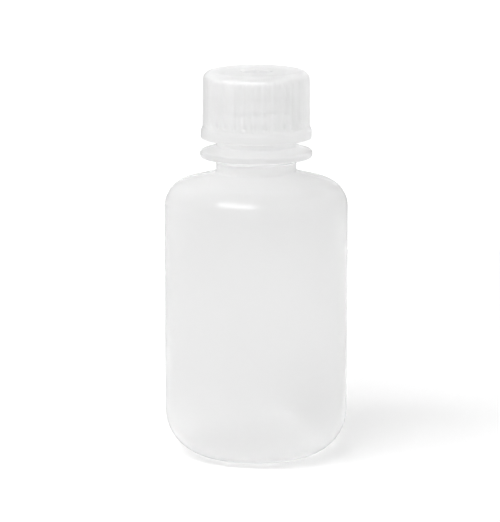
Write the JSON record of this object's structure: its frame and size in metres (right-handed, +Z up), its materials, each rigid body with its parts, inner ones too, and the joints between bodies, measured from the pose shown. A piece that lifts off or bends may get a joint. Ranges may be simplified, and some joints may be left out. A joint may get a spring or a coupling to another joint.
{
  "type": "reagent bottle",
  "caption": "Small cylindrical narrow-mouth bottle of milky translucent plastic, with a rounded base, a ring round its threaded neck, and a ribbed screw cap with a sealing liner.",
  "frame": {"origin": "centre of the face the bottle stands on", "axes": "+Z up along the bottle's axis, from the standing face to the cap; +X and +Y are level and equivalent"},
  "size_m": [0.05, 0.05, 0.1061],
  "materials": {
    "bottle_plastic": "satin",
    "cap_plastic": "satin",
    "liner_foam": "matte"
  },
  "bodies": {
    "bottle": {"bottle": "bottle_plastic"},
    "liner": {"cap_liner": "liner_foam"},
    "cap": {"screw_cap": "cap_plastic"}
  },
  "joints": [
    {"name": "cap_lift", "type": "slide", "parent": "bottle", "child": "liner", "axis": [0, 0, 1], "range_m": [0, 0.0081]},
    {"name": "cap_turn", "type": "hinge", "parent": "liner", "child": "cap", "pos_m": [0, 0, 0.0878], "axis": [0, 0, 1], "range_deg": [0, 810]}
  ],
  "couplings": [
    {"joint": "cap_lift", "follows": "cap_turn", "m_per_rad": 0.00057295}
  ]
}
